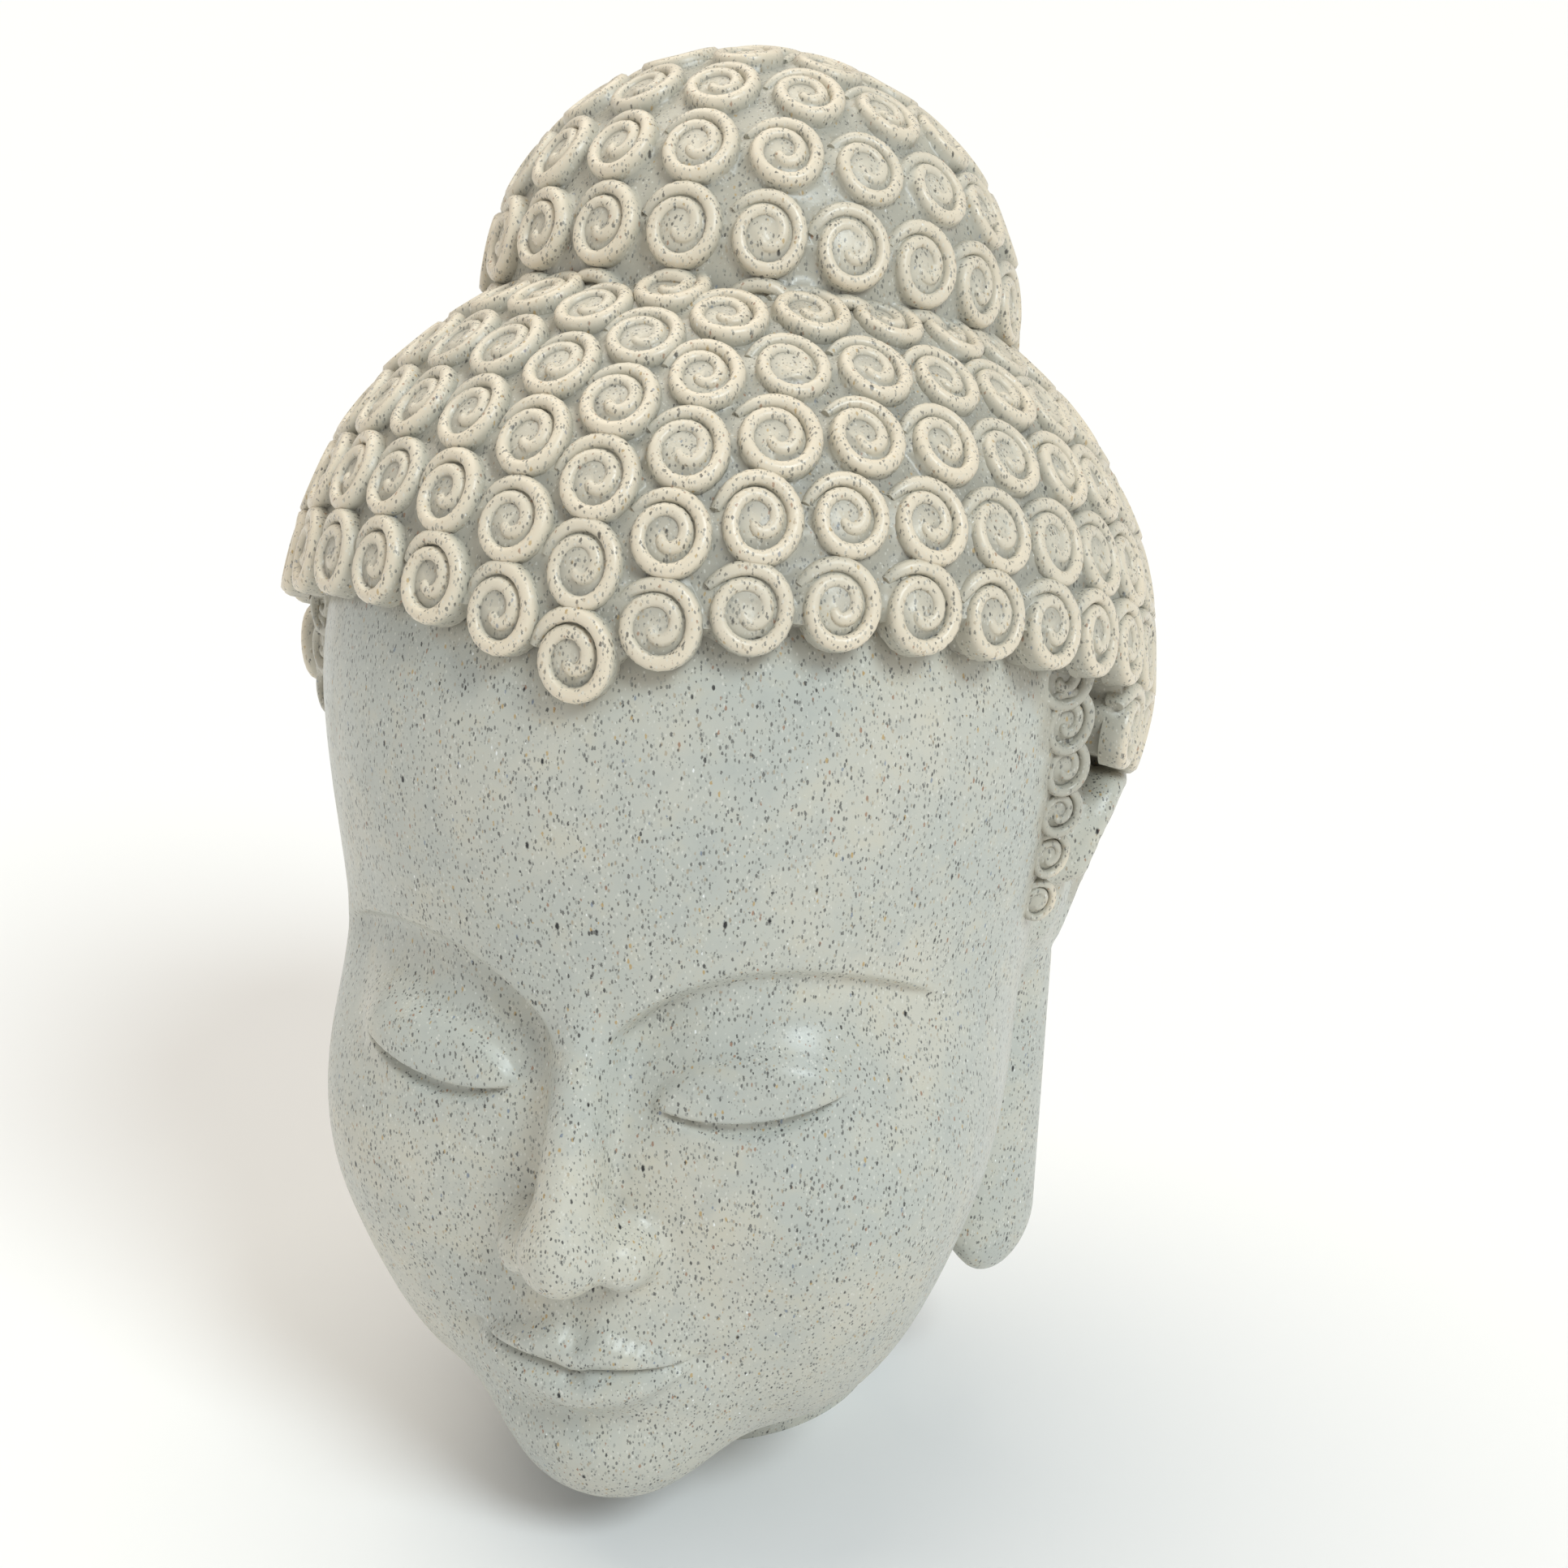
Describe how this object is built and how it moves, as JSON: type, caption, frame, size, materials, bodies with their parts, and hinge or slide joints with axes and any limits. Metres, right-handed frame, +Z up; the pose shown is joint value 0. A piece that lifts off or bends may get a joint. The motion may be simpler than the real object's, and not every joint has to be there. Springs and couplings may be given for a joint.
{
  "type": "buddha head statue",
  "caption": "Solid cast-stone Buddha head with lowered eyes, long ear lobes, rows of snail-shell curls and a domed bun, cut flat under the neck so that it stands by its own weight.",
  "frame": {"origin": "centre of the flat cut under the neck, on the surface that the head stands on", "axes": "+Z up through the bun, -Y the way the face looks, +X to the right of someone who faces the statue"},
  "size_m": [0.1898, 0.2185, 0.3061],
  "materials": {
    "speckled_stone": "satin, off-white with fine dark, rust and ochre flecks, warmer cream over the hair"
  },
  "bodies": {
    "root": {"buddha_head": "speckled_stone"}
  },
  "joints": []
}
